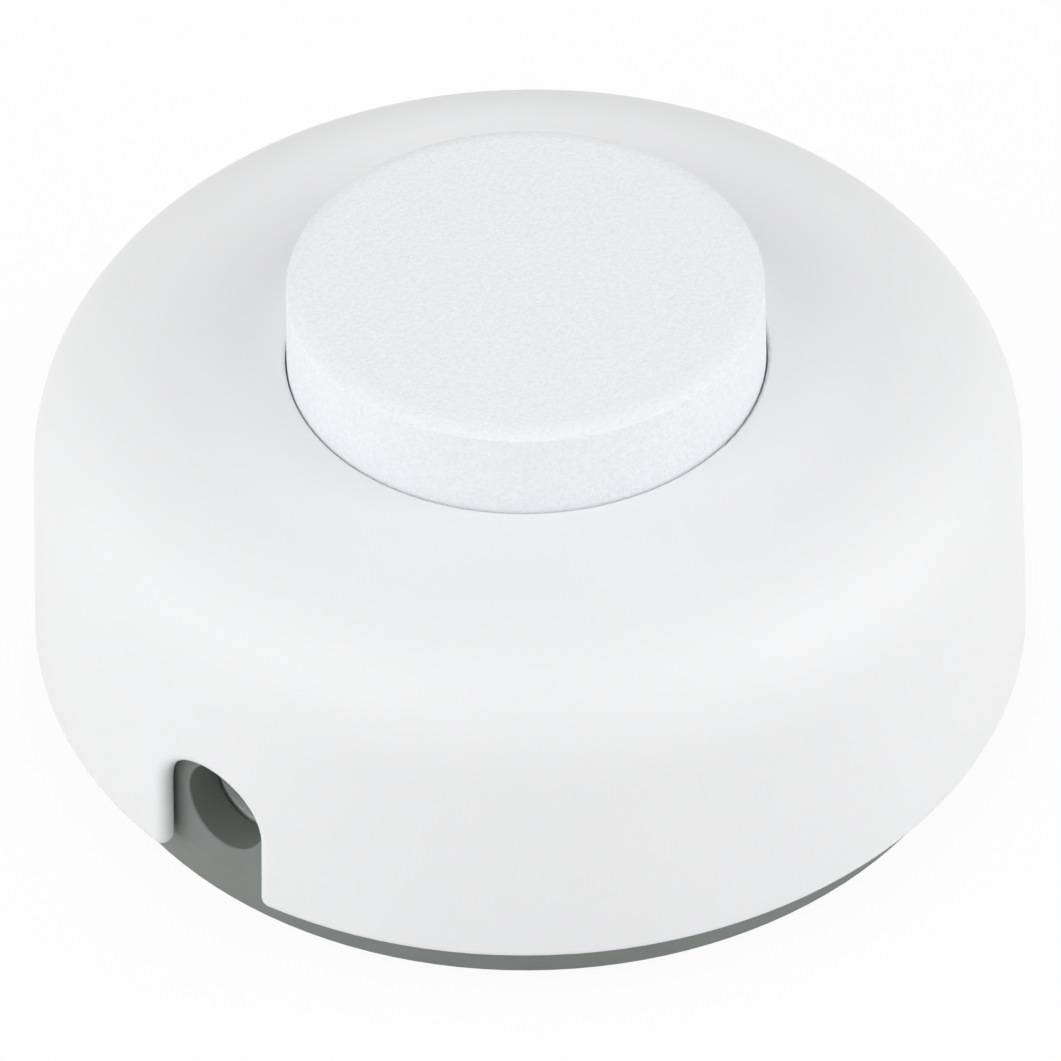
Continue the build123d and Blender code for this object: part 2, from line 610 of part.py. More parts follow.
def spring_cup():
    """Ring on the tower that keeps the rotor down, seats the spring and stops the button."""
    return turned(
        (CUP_INNER, CUP_Z),
        (CUP_OUTER, CUP_Z),
        (CUP_OUTER, CUP_LIP_Z),
        (CUP_LIP_INNER, CUP_LIP_Z),
        (CUP_LIP_INNER, SPRING_Z),
        (CUP_INNER, SPRING_Z),
    )


def return_spring():
    """Coil spring between the cup and the driver."""
    rise = DRIVER_Z - SPRING_Z - SPRING_WIRE
    coil = Pos(0, 0, SPRING_Z + SPRING_WIRE / 2) * Helix(rise / SPRING_TURNS, rise, SPRING_RADIUS)
    wire = Plane(coil @ 0, z_dir=coil % 0) * RegularPolygon(SPRING_WIRE / 2, SPRING_SIDE_COUNT)
    return sweep(wire, path=coil, is_frenet=True)


def pivot_pin():
    """Steel pin pressed into the base, which the rotor turns on."""
    pin = upright(PIN_RADIUS, BASE_Z + PIN_SEAT, WEB_Z + DRIVER_WEB + PIN_HEAD_ROOM)
    return chamfer(pin.edges().group_by(Axis.Z)[-1], PIN_CHAMFER)


def thrust_washer():
    return ring(PIN_RADIUS + RUN, WASHER_RADIUS, ROTOR_Z - WASHER_THICKNESS, ROTOR_Z)


def rubber_foot():
    foot = upright(FOOT_RADIUS, 0, FOOT_PROUD + FOOT_RECESS, x=FOOT_CIRCLE)
    return chamfer(foot.edges().group_by(Axis.Z)[0], FOOT_CHAMFER)


def pieces():
    """Every piece of the switch by its name."""
    live_in = live_in_contact()
    saddle = cord_saddle_inlet()
    clamp = cord_clamp_inlet()
    named = {
        "upper_housing": upper_housing(),
        "push_button": push_button(),
        "ratchet_driver": ratchet_driver(),
        "return_spring": return_spring(),
        "spring_cup": spring_cup(),
        "ratchet_rotor": ratchet_rotor(),
        "contact_bridge": contact_bridge(),
        "moving_contact_tips": group(
            around(2, contact_tip(BRIDGE_Z - TIP_HEIGHT, BRIDGE_Z, ROTOR_Z), start=BRIDGE_OFF_TURN)
        ),
        "pivot_pin": pivot_pin(),
        "thrust_washer": thrust_washer(),
        "base": base(),
        "live_in_contact": live_in,
        "live_out_contact": mirror(live_in, Plane.YZ),
        "fixed_contact_tips": group(around(2, contact_tip(LEAF_TOP_Z + TIP_HEIGHT, LEAF_TOP_Z, LEAF_Z))),
        "neutral_link": neutral_link(),
        "terminal_screws": terminal_screws(),
        "wire_clamp_washers": wire_clamp_washers(),
        "cord_saddle_inlet": saddle,
        "cord_saddle_outlet": mirror(saddle, Plane.YZ),
        "cord_clamp_inlet": clamp,
        "cord_clamp_outlet": mirror(clamp, Plane.YZ),
        "clamp_screws": clamp_screws(),
        "housing_screws": housing_screws(),
    }
    for number, foot in enumerate(around(FOOT_COUNT, rubber_foot(), start=180 / FOOT_COUNT), start=1):
        named[f"rubber_foot_{number}"] = foot
    return named


if __name__ == "__main__":
    os.makedirs("parts", exist_ok=True)
    for name, piece in pieces().items():
        export_step(piece, f"parts/{name}.step")
        print(name, round(piece.volume, 1))
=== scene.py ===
# %% [markdown]
# # Inline foot switch
#
# A foot switch for a lamp cord: a white moulded dome with a large round button, on a grey base with four
# rubber feet. The cord goes in through an arched notch at one side and out at the other. Its rigid pieces
# come from the solid model, already at their real size and place. This notebook dresses them: it sets the
# camera and the light, gives each plastic, metal and rubber its finish, and models again the pieces that
# need more than a finish.

# %% Load the solid model
import json
from math import cos, radians, sin, tau

import bpy
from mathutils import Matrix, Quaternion, Vector


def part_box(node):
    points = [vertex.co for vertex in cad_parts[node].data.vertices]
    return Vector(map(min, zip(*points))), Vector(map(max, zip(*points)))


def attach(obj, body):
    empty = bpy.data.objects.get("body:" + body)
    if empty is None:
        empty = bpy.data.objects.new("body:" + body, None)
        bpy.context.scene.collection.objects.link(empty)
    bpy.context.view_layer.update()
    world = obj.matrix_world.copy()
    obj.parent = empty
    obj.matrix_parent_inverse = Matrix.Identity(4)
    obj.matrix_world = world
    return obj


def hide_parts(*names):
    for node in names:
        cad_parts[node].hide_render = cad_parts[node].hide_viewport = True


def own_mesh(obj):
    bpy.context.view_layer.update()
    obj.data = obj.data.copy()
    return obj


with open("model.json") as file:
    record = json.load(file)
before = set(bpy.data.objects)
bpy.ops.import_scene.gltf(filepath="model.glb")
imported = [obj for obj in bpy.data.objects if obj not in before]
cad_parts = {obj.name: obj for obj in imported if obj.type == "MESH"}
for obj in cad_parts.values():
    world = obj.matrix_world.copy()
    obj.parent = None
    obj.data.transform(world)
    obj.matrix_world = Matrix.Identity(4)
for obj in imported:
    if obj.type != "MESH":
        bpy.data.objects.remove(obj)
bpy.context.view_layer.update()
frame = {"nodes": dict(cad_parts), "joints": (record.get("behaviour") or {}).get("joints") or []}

bpy.ops.object.select_all(action="DESELECT")
MM = 0.001

# %% [markdown]
# ## Camera
#
# The switch is seen from above its cord notch. The camera's place is easiest to read as an azimuth, an
# elevation and a distance, so one helper turns the two angles into a direction. Another turns a camera or a
# lamp to face something, and the lamps use both again.

# %% Directions
def direction(azimuth, elevation):
    """Unit vector from the switch towards an azimuth and an elevation."""
    return Vector((sin(azimuth) * cos(elevation), -cos(azimuth) * cos(elevation), sin(elevation)))


def faced(place, target):
    """Turn of a camera or a lamp at a place that looks at a target."""
    return (target - place).to_track_quat("-Z", "Y")


print("front is", [round(value, 3) for value in direction(0, 0)])

# %% [markdown]
# The lens is long, so the round outlines of the switch are nearly true ellipses. A lens could be shifted to
# frame the switch, but every other view would keep that shift. The camera is aimed a little below the
# middle of the switch instead.

# %% Aim the camera
VIEW_AZIMUTH = radians(-50.34)
VIEW_ELEVATION = radians(42.0)
VIEW_ROLL = radians(-0.92)
VIEW_DISTANCE = 517.3 * MM
VIEW_CENTRE = Vector((0, 0, 14.8 * MM))
AIM_RIGHT = 0.083 * MM
AIM_DOWN = 2.423 * MM
SENSOR = 36.0
LENS = 251.6

eye = VIEW_CENTRE + direction(VIEW_AZIMUTH, VIEW_ELEVATION) * VIEW_DISTANCE
aim = VIEW_CENTRE + faced(eye, VIEW_CENTRE) @ Vector((AIM_RIGHT, -AIM_DOWN, 0))

bpy.ops.object.camera_add(location=eye)
camera = bpy.context.object
camera.data.sensor_width = SENSOR
camera.data.lens = LENS
camera.rotation_mode = "QUATERNION"
camera.rotation_quaternion = faced(eye, aim) @ Quaternion((0, 0, 1), VIEW_ROLL)
bpy.context.scene.camera = camera
print("camera at", [round(value / MM) for value in eye], "mm")

# %% [markdown]
# ## Shader maths
#
# A finish is a small network of nodes. Wired by hand, even a sum is three lines, so a socket is wrapped in
# a class that takes plus, minus and times, also with a plain number on its left. The finishes below then
# read like formulas.

# %% A socket that takes sums
class Signal:
    """A socket of a network, to be used in sums like a number."""

    def __init__(self, network, socket):
        self.network = network
        self.socket = socket

    def maths(self, operation, first, second):
        return self.network.node("ShaderNodeMath", {"operation": operation}, {0: first, 1: second})

    def __add__(self, other):
        return self.maths("ADD", self, other)

    __radd__ = __add__

    def __sub__(self, other):
        return self.maths("SUBTRACT", self, other)

    def __rsub__(self, other):
        return self.maths("SUBTRACT", other, self)

    def __mul__(self, other):
        return self.maths("MULTIPLY", self, other)

    __rmul__ = __mul__


# %% [markdown]
# Every other node comes from one method, which takes its type, its settings and what goes into its sockets.
# The settings are set first, because some of them change which sockets a node has.

# %% A network of nodes
class Network:
    """The nodes of a material or of the world while they are wired."""

    def __init__(self, owner):
        owner.use_nodes = True
        self.owner = owner
        self.tree = owner.node_tree

    def node(self, kind, settings=None, inputs=None, output=0):
        made = self.tree.nodes.new(kind)
        for name, value in (settings or {}).items():
            setattr(made, name, value)
        for socket, value in (inputs or {}).items():
            self.plug(made.inputs[socket], value)
        return Signal(self, made.outputs[output])

    def plug(self, socket, value):
        if isinstance(value, Signal):
            self.tree.links.new(value.socket, socket)
        else:
            socket.default_value = value

    def shown(self):
        """1 for rays that bring the camera a picture, also mirrored or through glass, and 0 for others."""
        rays = ("Is Camera Ray", "Is Glossy Ray", "Is Transmission Ray")
        return sum(self.node("ShaderNodeLightPath", output=ray) for ray in rays)


# %% [markdown]
# The patterns of real finishes come down to a few: clouds, pits, streaks and a mix of two colours. Each is a
# short method that takes its size in metres, so that a grain has its real scale on every piece. Noise rarely
# comes near 0 or 1, so its usual range is stretched where a pattern needs contrast. A Mix node has sockets of
# the same names for numbers, vectors and colours, so those for colours are taken by their numbers.

# %% Patterns for finishes
NOISE_LOW = 0.3
NOISE_HIGH = 0.7
MIX_SHARE, MIX_FIRST, MIX_SECOND = 0, 6, 7
MIX_COLOUR = 2


class Finish(Network):
    """A material with the patterns that moulded, rolled and plated surfaces show."""

    def __init__(self, name):
        super().__init__(bpy.data.materials.new(name))
        self.shader = self.tree.nodes["Principled BSDF"]
        self.place = self.node("ShaderNodeTexCoord", output="Object")

    def clouds(self, size, detail=2.0, stretch=(1, 1, 1)):
        """Soft patches about a size across, drawn out where the stretch is small, from 0 to 1."""
        drawn_out = {0: self.place, 1: stretch}
        place = self.node("ShaderNodeVectorMath", {"operation": "MULTIPLY"}, drawn_out, "Vector")
        noise = {"Vector": place, "Scale": 1 / size, "Detail": detail}
        return self.node("ShaderNodeTexNoise", {}, noise, "Fac")

    def pits(self, size):
        """Rounded cells about a size across, 0 in their middle and towards 1 at their borders."""
        return self.node("ShaderNodeTexVoronoi", {}, {"Vector": self.place, "Scale": 1 / size}, "Distance")

    def between(self, share, first, second):
        """Colour that goes from the first to the second as the share goes from 0 to 1."""
        inputs = {MIX_SHARE: share, MIX_FIRST: (*first, 1), MIX_SECOND: (*second, 1)}
        return self.node("ShaderNodeMix", {"data_type": "RGBA"}, inputs, MIX_COLOUR)

    def rise(self, value, low=NOISE_LOW, high=NOISE_HIGH):
        """A value's rise from a low to a high mark, as 0 to 1."""
        inputs = {"Value": value, "From Min": low, "From Max": high}
        return self.node("ShaderNodeMapRange", {}, inputs, "Result")

    def relief(self, height, depth):
        """Normal of a surface whose height runs from 0 to a depth."""
        return self.node("ShaderNodeBump", {}, {"Height": height, "Distance": depth}, "Normal")

    def done(self, **sockets):
        """Sets the shader's sockets and gives the material."""
        for name, value in sockets.items():
            self.plug(self.shader.inputs[name.replace("_", " ").title()], value)
        return self.owner


# %% [markdown]
# A piece of the solid model keeps its mesh and only gets another material, in the slots that it already has.
# Its mesh could be unwrapped and painted, but these patterns need only a place in the object, so no seams
# show.

# %% Paint a piece
def paint(material, *nodes):
    """Gives nodes of the solid model their finish."""
    for node in nodes:
        for slot in frame["nodes"][node].material_slots:
            slot.material = material
    print(material.name, "on", ", ".join(nodes))


# %% [markdown]
# ## White plastics
#
# The dome is injection moulded in a polished tool, so it is satin smooth, with a faint cloudiness in its
# white and a slight unevenness in its gloss. One flat colour would look like paper. Two sizes of noise give
# both.

# %% Dome
DOME_CLOUD = 18 * MM
DOME_GRAIN = 0.35 * MM
DOME_GRAIN_DEPTH = 0.004 * MM
DOME_ROUGHNESS = 0.4
DOME_UNEVENNESS = 0.12
DOME_SHADE = (0.848, 0.852, 0.86)
DOME_LIGHT = (0.872, 0.875, 0.882)


def satin_white():
    """Smooth white plastic with faint clouds."""
    finish = Finish("satin_white_plastic")
    cloud = finish.clouds(DOME_CLOUD)
    fine = finish.clouds(DOME_GRAIN, detail=3.0)
    return finish.done(
        base_color=finish.between(cloud, DOME_SHADE, DOME_LIGHT),
        roughness=DOME_ROUGHNESS + DOME_UNEVENNESS * fine,
        normal=finish.relief(fine, DOME_GRAIN_DEPTH),
    )


paint(satin_white(), "upper_housing")

# %% [markdown]
# The button's tool was spark eroded, which leaves a fine even grain that gives a foot some grip. The grain
# scatters the light, so the button looks a little lighter and cooler than the dome. Modelled pits would take
# millions of faces, so the grain is a relief in the finish. Its colour follows the same relief, with painted
# shade in the pits and a painted highlight on the peaks. It is made of two sizes of noise, because one alone
# looks regular.

# %% Button
GRAIN_COARSE = 0.34 * MM
GRAIN_FINE = 0.16 * MM
GRAIN_DEPTH = 0.04 * MM
GRAIN_ROUGHNESS = 0.55
GRAIN_UNEVENNESS = 0.15
# Colours of the grain's pits and peaks: the pits are darkened as painted shade and the peaks lightened as a
# painted highlight.
GRAIN_PIT_PAINTED_SHADE = (0.855, 0.861, 0.883)
GRAIN_PEAK_PAINTED_HIGHLIGHT = (0.945, 0.949, 0.967)


def grained_white():
    """White plastic with the grain of a spark eroded tool, with painted shade in its pits and a painted
    highlight on its peaks.
    """
    finish = Finish("grained_white_plastic")
    coarse = finish.clouds(GRAIN_COARSE, detail=1.0)
    fine = finish.clouds(GRAIN_FINE, detail=1.0)
    grain = 0.5 * finish.rise(coarse) + 0.5 * finish.rise(fine)
    return finish.done(
        # The colour goes with the relief's height, so the pits get painted shade and the peaks a painted
        # highlight.
        base_color=finish.between(grain, GRAIN_PIT_PAINTED_SHADE, GRAIN_PEAK_PAINTED_HIGHLIGHT),
        roughness=GRAIN_ROUGHNESS + GRAIN_UNEVENNESS * fine,
        normal=finish.relief(grain, GRAIN_DEPTH),
    )


paint(grained_white(), "push_button")

# %% [markdown]
# ## Other plastics
#
# The base, the pieces that grip the cord and the mechanism are moulded in three more plastics. Each could
# have a network of its own, but they differ only in colours, sizes and roughness, so one recipe makes them.

# %% A recipe for moulded plastics
PATCH_SHARE = 0.6
FINE_SHARE = 0.4
MOULDED_UNEVENNESS = 0.2


def moulded(name, dark, pale, patch, grain, depth, roughness):
    """Plastic with soft patches and a fine grain of a depth, never smoother than a roughness."""
    finish = Finish(name)
    cloud = finish.rise(finish.clouds(patch, detail=3.0))
    fine = finish.clouds(grain, detail=3.0)
    return finish.done(
        base_color=finish.between(PATCH_SHARE * cloud + FINE_SHARE * fine, dark, pale),
        roughness=roughness + MOULDED_UNEVENNESS * fine,
        normal=finish.relief(fine, depth),
    )


# %% [markdown]
# The base is a matt grey with a slight green cast. It shows only as a rim under the dome and behind the
# notch, so broad, weak patches are enough.

# %% Grey base
base_grey = moulded(
    "base_grey_plastic",
    dark=(0.178, 0.2, 0.187),
    pale=(0.215, 0.24, 0.226),
    patch=5 * MM,
    grain=0.3 * MM,
    depth=0.012 * MM,
    roughness=0.48,
)
paint(base_grey, "base")

# %% [markdown]
# The saddles and clamps that grip the cord are left in the plastic's own milky colour, which is mottled where
# it flowed into the tool. The mottling is small and strong, because only a little of it shows in the cord
# hole.

# %% Milky saddles and clamps
milky_natural = moulded(
    "milky_natural_plastic",
    dark=(0.66, 0.68, 0.65),
    pale=(0.9, 0.92, 0.9),
    patch=0.8 * MM,
    grain=0.2 * MM,
    depth=0.015 * MM,
    roughness=0.4,
)
paint(milky_natural, "cord_saddle_inlet", "cord_saddle_outlet", "cord_clamp_inlet", "cord_clamp_outlet")

# %% [markdown]
# The ratchet and the spring's cup belong to the mechanism. Such pieces are a slippery ivory plastic that
# wears well, the smoothest of the three.

# %% Ivory mechanism
slippery_ivory = moulded(
    "slippery_ivory_plastic",
    dark=(0.69, 0.67, 0.58),
    pale=(0.76, 0.74, 0.66),
    patch=7 * MM,
    grain=0.25 * MM,
    depth=0.006 * MM,
    roughness=0.3,
)
paint(slippery_ivory, "ratchet_driver", "spring_cup", "ratchet_rotor")

# %% [markdown]
# ## Metals
#
# The contacts are punched from rolled strip, which keeps fine lines along the way it was rolled. The screws
# and the washers under them are zinc plated and faintly cloudy. The spring, the pin and its washer are
# bright drawn steel, and the contact tips are soft silver. A metal's colour is its mirror colour, so these
# are written as metals with streaks in roughness and tone.

# %% A recipe for metals
STREAK_DEPTH = 0.003 * MM
STREAK_SHARE = 0.6
STREAK_UNEVENNESS = 0.16
TARNISH_SIZE = 4 * MM
TARNISH_SHARE = 0.4
TARNISH_UNEVENNESS = 0.08
ALONG_X = (0.08, 1, 1)
ALONG_Y = (1, 0.08, 1)
ROUND_AND_ROUND = (0.3, 0.3, 1)
EVEN = (1, 1, 1)


def metal(name, dark, bright, streak, stretch, roughness):
    """Metal with streaks about a size across, drawn out by a stretch, never smoother than a roughness."""
    finish = Finish(name)
    lines = finish.clouds(streak, detail=4.0, stretch=stretch)
    tarnish = finish.clouds(TARNISH_SIZE, detail=2.0)
    return finish.done(
        base_color=finish.between(STREAK_SHARE * lines + TARNISH_SHARE * tarnish, dark, bright),
        metallic=1.0,
        roughness=roughness + STREAK_UNEVENNESS * lines + TARNISH_UNEVENNESS * tarnish,
        normal=finish.relief(lines, STREAK_DEPTH),
    )


# %% [markdown]
# Brass strip carries the current to the terminals, and springier bronze makes the bridge that turns. Both
# are rolled, so their streaks are drawn out along the strip. A picture of brushed metal would do too, but
# noise needs no file.

# %% Rolled strip
rolled_brass = metal(
    "rolled_brass",
    dark=(0.66, 0.47, 0.19),
    bright=(0.82, 0.63, 0.3),
    streak=0.15 * MM,
    stretch=ALONG_X,
    roughness=0.24,
)
rolled_bronze = metal(
    "rolled_bronze",
    dark=(0.6, 0.37, 0.21),
    bright=(0.77, 0.52, 0.33),
    streak=0.12 * MM,
    stretch=ALONG_Y,
    roughness=0.24,
)
paint(rolled_brass, "live_in_contact", "live_out_contact", "neutral_link")
paint(rolled_bronze, "contact_bridge")

# %% [markdown]
# The pin that the rotor turns on and its washer are bright drawn steel, like the spring, with fine lines
# that lie level, round each piece. The washers that hold the wires are zinc plated, like the screws.
# Plating has no lines, so its pattern isn't drawn out.

# %% Steel
drawn_steel = metal(
    "drawn_steel",
    dark=(0.46, 0.46, 0.47),
    bright=(0.62, 0.62, 0.63),
    streak=0.1 * MM,
    stretch=ROUND_AND_ROUND,
    roughness=0.22,
)
plated_steel = metal(
    "zinc_plated_steel",
    dark=(0.58, 0.59, 0.61),
    bright=(0.72, 0.73, 0.74),
    streak=0.4 * MM,
    stretch=EVEN,
    roughness=0.28,
)
paint(drawn_steel, "pivot_pin", "thrust_washer")
paint(plated_steel, "wire_clamp_washers")

# %% [markdown]
# Where the current is made and broken, the contacts have tips of silver. It is the palest and smoothest of
# these metals, and its pattern isn't drawn out either.

# %% Silver tips
contact_silver = metal(
    "contact_silver",
    dark=(0.78, 0.77, 0.74),
    bright=(0.88, 0.87, 0.85),
    streak=0.2 * MM,
    stretch=EVEN,
    roughness=0.2,
)
paint(contact_silver, "moving_contact_tips", "fixed_contact_tips")

# %% [markdown]
# ## Rubber
#
# The feet are moulded rubber: dark, matt and slightly dusty, with a fine skin that shows only close up.
# Dust lies in patches, so it is noise with its weak part cut off, and the skin is a pattern of small cells.

# %% Rubber feet
DUST_PATCH = 1.6 * MM
DUST_START = 0.35
DUST_FULL = 0.75
DUST_ROUGHNESS = 0.2
SKIN_CELL = 0.25 * MM
SKIN_DEPTH = 0.02 * MM
RUBBER_ROUGHNESS = 0.68
CLEAN_RUBBER = (0.022, 0.022, 0.023)
DUSTY_RUBBER = (0.05, 0.05, 0.049)


def foot_rubber():
    """Matt black rubber with a little dust."""
    finish = Finish("foot_rubber")
    dust = finish.rise(finish.clouds(DUST_PATCH, detail=4.0), DUST_START, DUST_FULL)
    return finish.done(
        base_color=finish.between(dust, CLEAN_RUBBER, DUSTY_RUBBER),
        roughness=RUBBER_ROUGHNESS + DUST_ROUGHNESS * dust,
        normal=finish.relief(finish.pits(SKIN_CELL), SKIN_DEPTH),
    )


paint(foot_rubber(), *sorted(name for name in frame["nodes"] if name.startswith("rubber_foot")))

# %% [markdown]
# ## Modelling helpers
#
# Operators act on whatever is selected, so every step starts from one object alone. In edit mode, faces and
# edges are chosen by where they lie, which needs their middles. A finished piece keeps its place in its
# mesh, with the object itself at the origin, as the pieces of the solid model do.

# %% Select by place
def alone(piece):
    """Makes a piece the only one selected, and the active one."""
    bpy.ops.object.select_all(action="DESELECT")
    piece.select_set(True)
    bpy.context.view_layer.objects.active = piece


def settle(piece):
    """Moves a piece's place and turn into its mesh."""
    alone(piece)
    bpy.ops.object.transform_apply(location=True, rotation=True, scale=True)


def open_mesh(piece, kind, wanted):
    """Opens a piece in edit mode with the faces or edges whose middle passes a test selected."""
    alone(piece)
    bpy.ops.object.mode_set(mode="EDIT")
    bpy.ops.mesh.select_mode(type=kind)
    bpy.ops.mesh.select_all(action="DESELECT")
    bpy.ops.object.mode_set(mode="OBJECT")
    mesh = piece.data
    for element in mesh.polygons if kind == "FACE" else mesh.edges:
        corners = [mesh.vertices[index].co for index in element.vertices]
        element.select = wanted(sum(corners, Vector()) / len(corners))
    bpy.ops.object.mode_set(mode="EDIT")


# %% [markdown]
# A modifier is added, set and applied in one go, so that no piece carries a live one. What the screw
# modifier winds is an open tube, so its ends are found as the edges with a face on one side only, and
# filled.

# %% Apply, close and join
def apply_modifier(piece, kind, **settings):
    """Adds a modifier with its settings and applies it."""
    alone(piece)
    bpy.ops.object.modifier_add(type=kind)
    modifier = piece.modifiers[-1]
    for name, value in settings.items():
        setattr(modifier, name, value)
    bpy.ops.object.modifier_apply(modifier=modifier.name)


def close_ends(piece):
    """Fills the open ends of a piece that was wound, and turns its faces outwards."""
    alone(piece)
    bpy.ops.object.mode_set(mode="EDIT")
    bpy.ops.mesh.select_mode(type="EDGE")
    bpy.ops.mesh.select_all(action="DESELECT")
    bpy.ops.mesh.select_non_manifold()
    bpy.ops.mesh.fill_holes(sides=0)
    bpy.ops.mesh.select_all(action="SELECT")
    bpy.ops.mesh.normals_make_consistent(inside=False)
    bpy.ops.object.mode_set(mode="OBJECT")


def joined(pieces, name):
    """One piece made of several."""
    alone(pieces[0])
    for piece in pieces:
        piece.select_set(True)
    bpy.ops.object.join()
    whole = bpy.context.object
    whole.name = name
    return whole


# %% [markdown]
# A new piece takes the place of a plainer solid: it moves with that solid's body, has the same material
# slot and hides the solid. Edges that bend little are shaded smooth, and sharper ones stay crisp.

# %% Finish a piece
SMOOTH_ANGLE = radians(32)


def finished(piece, body, material, node):
    """Smooths a piece, gives it its finish and puts it in place of its plain solid."""
    alone(piece)
    bpy.ops.object.shade_smooth_by_angle(angle=SMOOTH_ANGLE)
    piece.data.materials.clear()
    piece.data.materials.append(material)
    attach(piece, body)
    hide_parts(node)
    print(piece.name, "for", node, "with", len(piece.data.polygons), "faces")


# %% [markdown]
# ## Return spring
#
# Below the button a coil spring of round steel wire stands in a cup and lifts the button after each press.
# In the solid model its wire has flat sides, to keep that light. A curve with a round bevel would do, but a
# screw modifier is how a spring is wound: the wire's round section goes about the axis and rises as it
# turns.

# %% Wind the spring
SPRING_TURNS = 4.5
STEPS_A_TURN = 40
WIRE_RADIUS = 0.45 * MM
WIRE_SIDES = 14
low, high = (Vector(corner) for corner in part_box("return_spring"))
spring_height = high.z - low.z

bpy.ops.mesh.primitive_circle_add(
    vertices=WIRE_SIDES,
    radius=WIRE_RADIUS,
    location=(high.x - WIRE_RADIUS, 0, low.z + WIRE_RADIUS),
    rotation=(radians(90), 0, 0),
)
spring = bpy.context.object
spring.name = "coil_spring"
settle(spring)
apply_modifier(
    spring,
    "SCREW",
    angle=SPRING_TURNS * tau,
    screw_offset=spring_height - 2 * WIRE_RADIUS,
    steps=round(SPRING_TURNS * STEPS_A_TURN),
    render_steps=round(SPRING_TURNS * STEPS_A_TURN),
)
print("wound", SPRING_TURNS, "turns,", round(spring_height / MM, 2), "mm high")

# %% [markdown]
# The two cut ends of the wire are closed, and their rims lightly rounded, as cut wire is deburred. The end
# faces are the only ones with as many sides as the wire has.

# %% Close the spring's ends
WIRE_END_ROUNDING = 0.1 * MM
WIRE_END_STEPS = 2

close_ends(spring)
bpy.ops.object.mode_set(mode="EDIT")
bpy.ops.mesh.select_mode(type="FACE")
bpy.ops.mesh.select_all(action="DESELECT")
bpy.ops.mesh.select_face_by_sides(number=WIRE_SIDES, type="EQUAL")
bpy.ops.mesh.region_to_loop()
bpy.ops.mesh.bevel(offset=WIRE_END_ROUNDING, segments=WIRE_END_STEPS)
bpy.ops.object.mode_set(mode="OBJECT")
finished(spring, "base", drawn_steel, "return_spring")

# %% [markdown]
# As the button goes down, the spring shortens. It could be posed for each press, but here only the share of
# its height that is left at full press is worked out, and the spring gets a mesh of its own.

# %% Let the spring shorten with the button
button_press = next(joint for joint in frame["joints"] if joint["name"] == "button_press")
stroke = button_press["range_m"][1]
1 - stroke / spring_height
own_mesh(spring)
print("pressed to", round((spring_height - stroke) / MM, 2), "mm")

# %% [markdown]
# ## Screws
#
# Three kinds of screw hold the switch together: short slotted ones on the terminals, cross-head ones on the
# cord clamps and longer cross-head ones from below that pull the dome onto the base. They differ only in
# size and in the recess, so one set of functions makes all three. The head comes first: a short cylinder
# whose upper rim is bevelled round.

# %% Screw head
HEAD_RATIO = 1.8
HEAD_HEIGHT = 1.8 * MM
HEAD_ROUNDING = 0.55 * MM
HEAD_ROUNDING_STEPS = 5
HEAD_SIDES = 48
NEAR_END = 0.9


def screw_head(radius):
    """Pan head that stands on the level of its seat."""
    bpy.ops.mesh.primitive_cylinder_add(
        vertices=HEAD_SIDES, radius=radius, depth=HEAD_HEIGHT, location=(0, 0, HEAD_HEIGHT / 2)
    )
    head = bpy.context.object
    settle(head)
    open_mesh(head, "EDGE", lambda middle: middle.z > NEAR_END * HEAD_HEIGHT)
    bpy.ops.mesh.bevel(offset=HEAD_ROUNDING, segments=HEAD_ROUNDING_STEPS)
    bpy.ops.object.mode_set(mode="OBJECT")
    return head


# %% [markdown]
# The recess for a driver is pressed into a real head. Here a blade is sunk into the head and taken away
# from it, once for a slot and twice, crosswise, for a cross.

# %% Recess
RECESS_WIDTH = 0.8 * MM
RECESS_DEPTH = 1.0 * MM


def cut_recess(head, span, turn):
    """Cuts a straight recess of a span into a head with a blade."""
    bpy.ops.mesh.primitive_cube_add(size=1, location=(0, 0, HEAD_HEIGHT), rotation=(0, 0, turn))
    blade = bpy.context.object
    blade.scale = (span, RECESS_WIDTH, 2 * RECESS_DEPTH)
    settle(blade)
    apply_modifier(head, "BOOLEAN", operation="DIFFERENCE", object=blade)
    bpy.data.objects.remove(blade)


# %% [markdown]
# The core is what is left between the turns of the thread. It is a cylinder whose lower face is extruded
# once more and drawn in, which makes the tip that finds the hole.

# %% Core
CORE_SIDES = 28
TIP_LENGTH = 1.0 * MM
TIP_RATIO = 0.35


def screw_core(radius, length):
    """Core below the head, drawn in to a tip."""
    straight = length - TIP_LENGTH
    bpy.ops.mesh.primitive_cylinder_add(
        vertices=CORE_SIDES, radius=radius, depth=straight, location=(0, 0, -straight / 2)
    )
    core = bpy.context.object
    settle(core)
    open_mesh(core, "FACE", lambda middle: middle.z < -NEAR_END * straight)
    bpy.ops.mesh.extrude_region_move(TRANSFORM_OT_translate={"value": (0, 0, -TIP_LENGTH)})
    bpy.ops.transform.resize(value=(TIP_RATIO, TIP_RATIO, 1), center_override=(0, 0, -length))
    bpy.ops.object.mode_set(mode="OBJECT")
    return core


# %% [markdown]
# A thread could be a relief in the finish, but its outline would stay straight. So a small triangle is
# wound about the core, as the spring's wire is wound, and rises by one pitch in each turn.

# %% Thread
PITCH_RATIO = 0.5
THREAD_STEPS = 28


def screw_thread(thread, length):
    """Triangular ridge wound about a core."""
    pitch = PITCH_RATIO * thread
    size = pitch / 2
    turns = int((length - TIP_LENGTH) / pitch) - 1
    bpy.ops.mesh.primitive_circle_add(
        vertices=3,
        radius=size,
        location=(thread - size, 0, -(turns + 1) * pitch),
        rotation=(radians(-90), radians(-90), 0),
    )
    ridge = bpy.context.object
    settle(ridge)
    apply_modifier(
        ridge, "SCREW", screw_offset=pitch, iterations=turns, steps=THREAD_STEPS, render_steps=THREAD_STEPS
    )
    close_ends(ridge)
    return ridge


# %% [markdown]
# Head, core and thread make one screw. Its head's size follows from its thread, as on real screws, and a
# slot is longer than the head is wide, so that it runs out at both sides.

# %% Whole screw
CORE_RATIO = 0.76
SLOT_RATIO = 3


